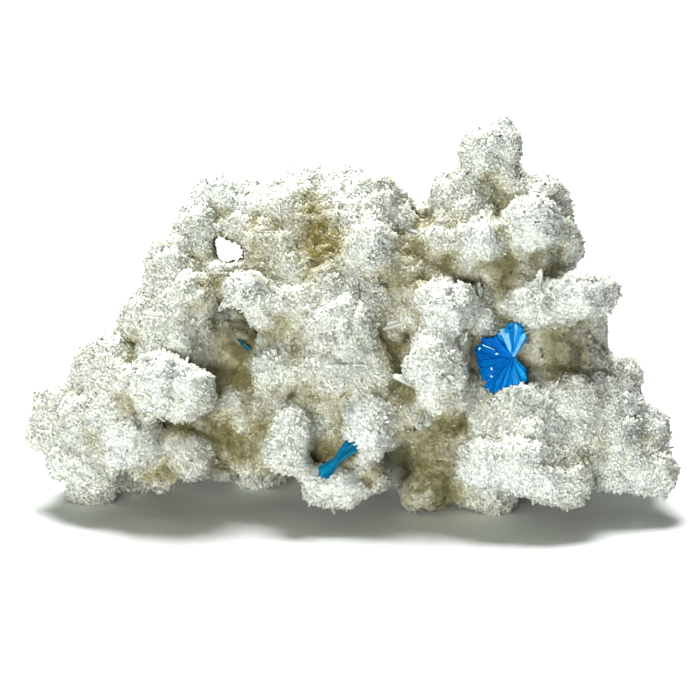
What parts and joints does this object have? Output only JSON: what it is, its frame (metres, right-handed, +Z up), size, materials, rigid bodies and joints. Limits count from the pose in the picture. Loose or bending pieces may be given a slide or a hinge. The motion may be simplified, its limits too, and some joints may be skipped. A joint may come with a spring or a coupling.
{
  "type": "cavansite mineral specimen",
  "caption": "Knobbly mass of white stilbite crystals with radiating sprays of blue cavansite seated in its hollows; a natural specimen that stands on its own lowest lumps.",
  "frame": {"origin": "middle of the bounding box on the resting plane, under the lumps that the specimen stands on", "axes": "+X to the right across the display face, along the longest extent; -Y out of the display face, towards the viewer; +Z up as it stands"},
  "size_m": [0.0918, 0.0458, 0.0532],
  "materials": {
    "stilbite": "sugary druse of small colourless to white crystals, vitreous with pearly glints, beige in the recesses",
    "cavansite": "vitreous bladed crystals, deep greenish blue, paler along their edges",
    "cavansite_dark": "vitreous, dark teal"
  },
  "bodies": {
    "root": {"stilbite_matrix": "stilbite", "cavansite_rosette": "cavansite", "cavansite_bowtie": "cavansite", "cavansite_sliver": "cavansite_dark"}
  },
  "joints": []
}
